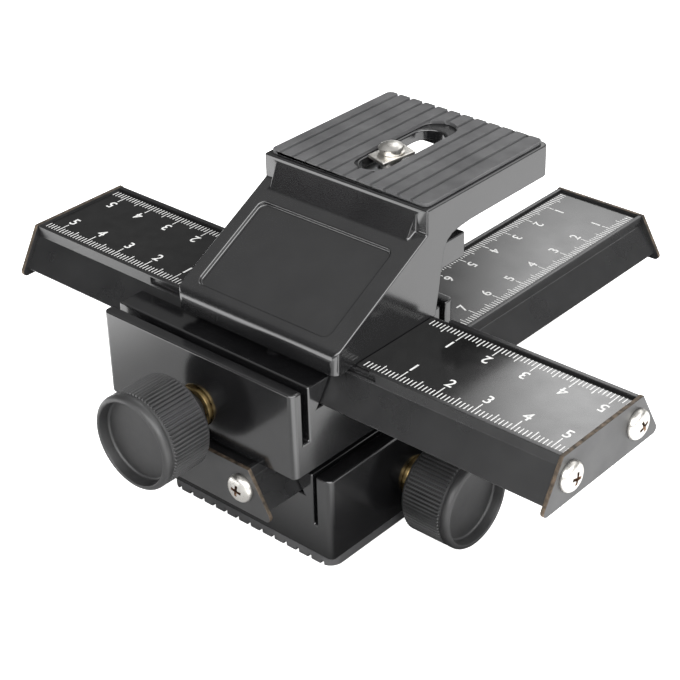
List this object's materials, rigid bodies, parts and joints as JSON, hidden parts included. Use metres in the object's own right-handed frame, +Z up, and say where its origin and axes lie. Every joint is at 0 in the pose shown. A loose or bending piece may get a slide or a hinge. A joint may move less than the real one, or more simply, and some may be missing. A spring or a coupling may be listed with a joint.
{
  "type": "macro focusing rail",
  "caption": "Two-axis macro focusing rail: crossed dovetail rails driven by rack and pinion knobs, with a stepped camera platform and slotted camera screw.",
  "frame": {"origin": "mouth of the tripod thread, in the plane of the foot pad's underside, centred on the lower carriage", "axes": "+Z up; +X along the upper (cross) rail towards the lower carriage's drive knob; +Y along the lower rail, from the panel side to the overhanging platform side"},
  "size_m": [0.1632, 0.1786, 0.0853],
  "materials": {
    "black_enamel": "die-cast aluminium under glossy black stove enamel, edges a little worn",
    "black_anodised": "extruded aluminium, satin black anodised",
    "scale_black": "thin aluminium plate, glossy black with white printed millimetre ticks and centimetre numbers",
    "plate_black": "stamped sheet steel, satin black paint, raw brownish cut edges",
    "bright_nickel": "nickel-plated steel",
    "zinc_steel": "zinc-plated steel",
    "ground_steel": "ground steel",
    "brass": "turned brass, dull",
    "knob_plastic": "moulded black plastic, fine matt grain",
    "black_rubber": "ribbed black rubber"
  },
  "bodies": {
    "base": {"foot_pad": "black_rubber", "lower_carriage": "black_enamel", "tripod_insert": "brass", "y_bush": "brass", "y_brake_plug": "brass"},
    "cross": {"y_rail": "black_anodised", "y_rack": "zinc_steel", "y_rack_screws": "zinc_steel", "y_scale_plate": "scale_black", "y_front_plate": "plate_black", "y_rear_plate": "plate_black", "y_front_plate_screws": "bright_nickel", "y_rear_plate_screws": "bright_nickel", "upper_carriage": "black_enamel", "carriage_screws": "zinc_steel", "x_bush": "brass", "x_brake_plug": "brass"},
    "top": {"x_rail": "black_anodised", "x_rack": "zinc_steel", "x_rack_screws": "zinc_steel", "x_scale_plates": "scale_black", "x_left_plate": "plate_black", "x_right_plate": "plate_black", "x_left_plate_screws": "bright_nickel", "x_right_plate_screws": "bright_nickel", "platform": "black_enamel", "platform_pad": "black_rubber", "platform_screws": "zinc_steel"},
    "y_drive": {"y_knob": "knob_plastic", "y_shaft": "ground_steel", "y_pinion": "brass", "y_circlip": "zinc_steel"},
    "x_drive": {"x_knob": "knob_plastic", "x_shaft": "ground_steel", "x_pinion": "brass", "x_circlip": "zinc_steel"},
    "y_lock": {"y_lock_knob": "knob_plastic", "y_lock_screw": "ground_steel"},
    "x_lock": {"x_lock_knob": "knob_plastic", "x_lock_screw": "ground_steel"},
    "screw_carrier": {"screw_retainer": "bright_nickel", "screw_washer": "zinc_steel"},
    "camera_screw_body": {"camera_screw": "bright_nickel", "camera_screw_knob": "knob_plastic"}
  },
  "joints": [
    {"name": "y_slide", "type": "slide", "parent": "base", "child": "cross", "axis": [0, 1, 0], "range_m": [-0.086, 0.0104]},
    {"name": "x_slide", "type": "slide", "parent": "cross", "child": "top", "axis": [1, 0, 0], "range_m": [-0.059, 0.0378]},
    {"name": "y_knob_turn", "type": "hinge", "parent": "base", "child": "y_drive", "pos_m": [0.04, 0, 0.01155], "axis": [1, 0, 0], "range_deg": [-90, 726]},
    {"name": "x_knob_turn", "type": "hinge", "parent": "cross", "child": "x_drive", "pos_m": [-0.00415, -0.0507, 0.03765], "axis": [0, 1, 0], "range_deg": [-500, 322]},
    {"name": "y_lock_turn", "type": "hinge", "parent": "base", "child": "y_lock", "pos_m": [-0.035, 0, 0.0205], "axis": [1, 0, 0], "range_deg": [-180, 45]},
    {"name": "x_lock_turn", "type": "hinge", "parent": "cross", "child": "x_lock", "pos_m": [-0.00415, 0.0243, 0.0466], "axis": [0, -1, 0], "range_deg": [-180, 45]},
    {"name": "screw_slide", "type": "slide", "parent": "top", "child": "screw_carrier", "axis": [0, 1, 0], "range_m": [-0.0025, 0.0135]},
    {"name": "screw_turn", "type": "hinge", "parent": "screw_carrier", "child": "camera_screw_body", "pos_m": [0.0066, 0.0178, 0.075], "axis": [0, 0, 1], "continuous": true}
  ],
  "couplings": [
    {"joint": "y_knob_turn", "follows": "y_slide", "rad_per_m": -147.06},
    {"joint": "x_knob_turn", "follows": "x_slide", "rad_per_m": 147.06}
  ]
}
